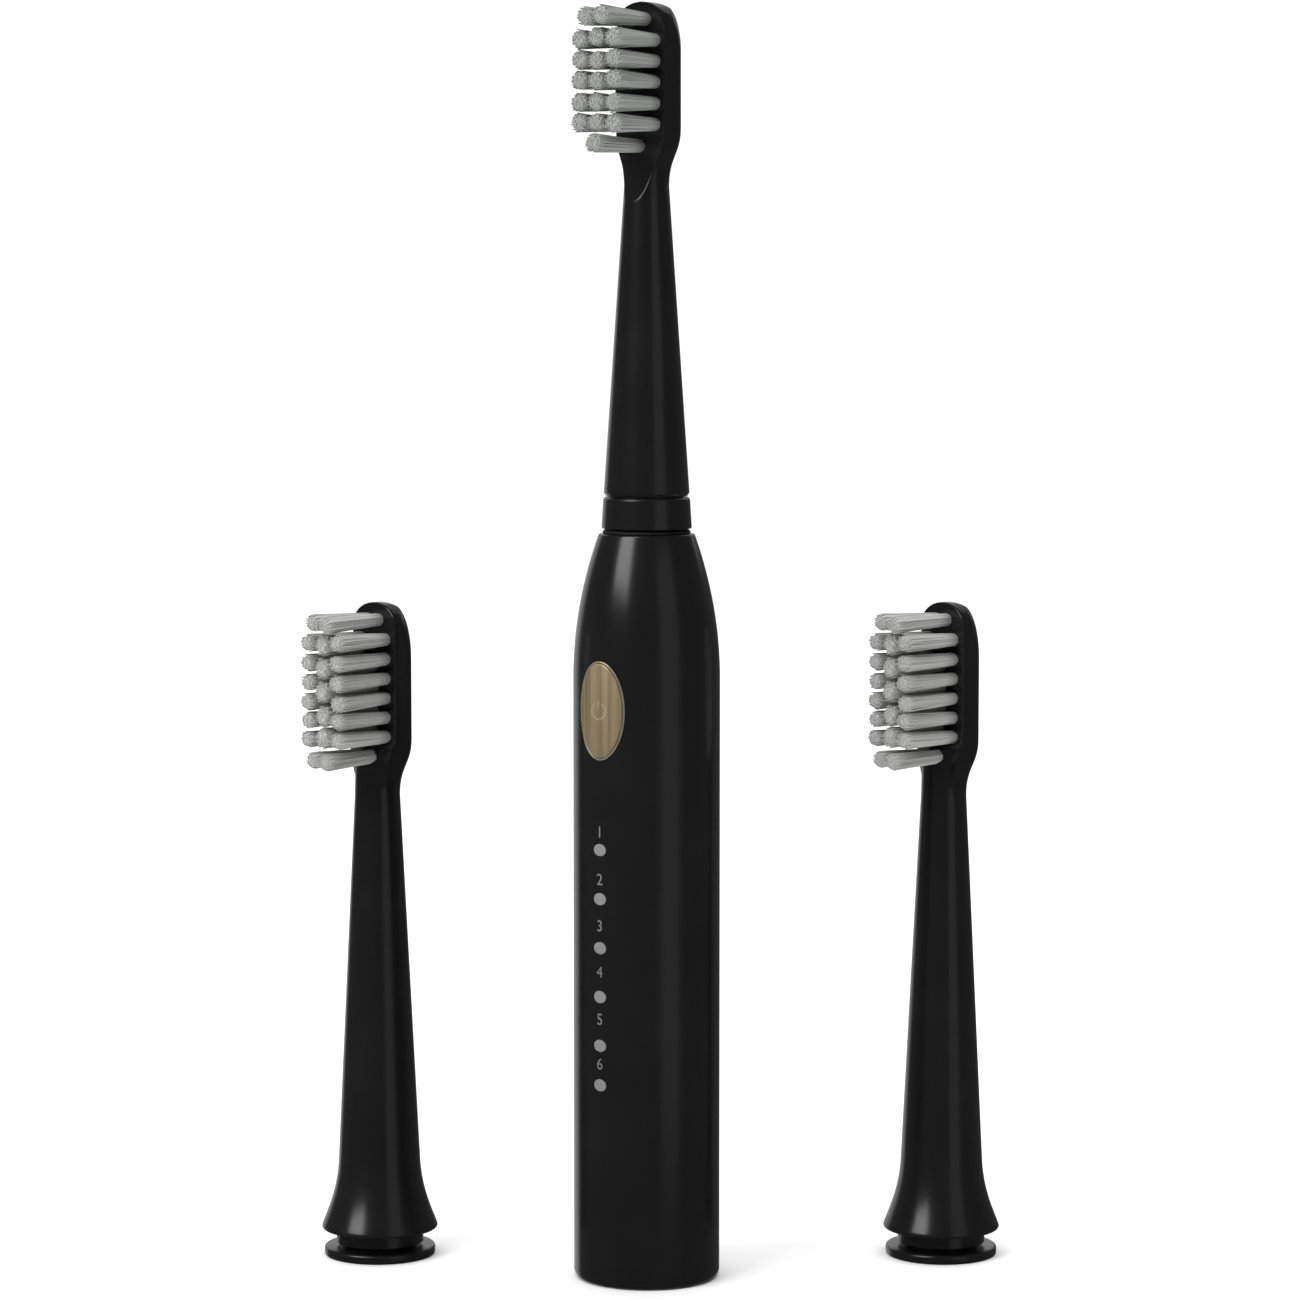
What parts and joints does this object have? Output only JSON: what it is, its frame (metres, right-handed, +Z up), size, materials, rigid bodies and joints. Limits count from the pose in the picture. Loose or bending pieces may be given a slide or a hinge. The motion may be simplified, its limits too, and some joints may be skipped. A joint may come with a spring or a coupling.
{
  "type": "electric toothbrush",
  "caption": "Slim sonic toothbrush standing on its flat base with a fitted brush head, and spare flared brush heads on round stands beside it.",
  "frame": {"origin": "centre of the handle's flat base, on the surface that the set stands on", "axes": "+Z up along the handle, X along the row from the left spare head to the right one, viewer at -Y; every brush faces -Y turned about 39 to 50 degrees towards -X"},
  "size_m": [0.1287, 0.0422, 0.2299],
  "materials": {
    "satin_black_shell": "satin moulded ABS",
    "black_moulding": "fine-textured moulding",
    "black_rubber": "matt silicone and foam",
    "champagne_metal": "brushed, champagne anodised",
    "pale_trim": "bright-turned, champagne anodised",
    "diffuser_lens": "frosted diffuser",
    "nylon_bristle": "grey nylon filaments in a black carrier",
    "copper_wire": "enamelled copper winding",
    "ferrite": "sintered",
    "white_moulding": "natural acetal",
    "cell_sleeve": "shrink sleeve over a steel can",
    "bright_steel": "nickel plated",
    "board_laminate": "solder-masked glass laminate"
  },
  "bodies": {
    "handle": {"handle_shell": "satin_black_shell", "bottom_cap": "black_moulding", "tact_switch": "black_moulding", "cap_o_ring": "black_rubber", "button_membrane": "black_rubber", "light_shield": "black_rubber", "rear_damper": "black_rubber", "front_damper": "black_rubber", "shaft_seal": "black_rubber", "receiver_coil": "copper_wire", "stator_winding": "copper_wire", "ferrite_disc": "ferrite", "chassis": "white_moulding", "motor_end_cap": "white_moulding", "coil_bobbin": "white_moulding", "seal_clip": "white_moulding", "battery_cell": "cell_sleeve", "battery_tab_lower": "bright_steel", "battery_tab_upper": "bright_steel", "board_screw_left": "bright_steel", "board_screw_right": "bright_steel", "motor_can": "bright_steel", "rear_bearing": "bright_steel", "front_bearing": "bright_steel", "return_spring": "bright_steel", "circuit_board": "board_laminate", "button_trim_ring": "pale_trim", "mode_lens_1": "diffuser_lens", "mode_lens_2": "diffuser_lens", "mode_lens_3": "diffuser_lens", "mode_lens_4": "diffuser_lens", "mode_lens_5": "diffuser_lens", "mode_lens_6": "diffuser_lens", "spare_left_stand": "black_moulding", "spare_right_stand": "black_moulding"},
    "button": {"power_button": "champagne_metal"},
    "plunger": {"switch_plunger": "white_moulding"},
    "shaft": {"drive_shaft": "bright_steel", "rotor_core": "bright_steel", "rotor_magnet_north": "ferrite", "rotor_magnet_south": "ferrite"},
    "fitted_head": {"brush_head_body": "satin_black_shell", "head_insert": "white_moulding", "head_ring": "black_moulding", "head_bristles": "nylon_bristle"},
    "spare_left_head": {"spare_left_head_body": "satin_black_shell", "spare_left_head_insert": "white_moulding", "spare_left_head_ring": "black_moulding", "spare_left_head_bristles": "nylon_bristle"},
    "spare_right_head": {"spare_right_head_body": "satin_black_shell", "spare_right_head_insert": "white_moulding", "spare_right_head_ring": "black_moulding", "spare_right_head_bristles": "nylon_bristle"}
  },
  "joints": [
    {"name": "power_button_press", "type": "slide", "parent": "handle", "child": "button", "axis": [0.6334, 0.7738, 0], "range_m": [0, 0.0005], "stiffness_N_per_m": 1500},
    {"name": "switch_plunger_press", "type": "slide", "parent": "handle", "child": "plunger", "axis": [0.6334, 0.7738, 0], "range_m": [0, 0.00025]},
    {"name": "shaft_sweep", "type": "hinge", "parent": "handle", "child": "shaft", "pos_m": [0, 0, 0.12], "axis": [0, 0, 1], "range_deg": [-6, 6], "stiffness_Nm_per_rad": 0.05},
    {"name": "head_pull", "type": "slide", "parent": "shaft", "child": "fitted_head", "axis": [0, 0, 1], "range_m": [0, 0.024]},
    {"name": "spare_left_lift", "type": "slide", "parent": "handle", "child": "spare_left_head", "axis": [0, 0, 1], "range_m": [0, 0.03]},
    {"name": "spare_right_lift", "type": "slide", "parent": "handle", "child": "spare_right_head", "axis": [0, 0, 1], "range_m": [0, 0.03]}
  ],
  "couplings": [
    {"joint": "switch_plunger_press", "follows": "power_button_press", "ratio": 0.5}
  ]
}
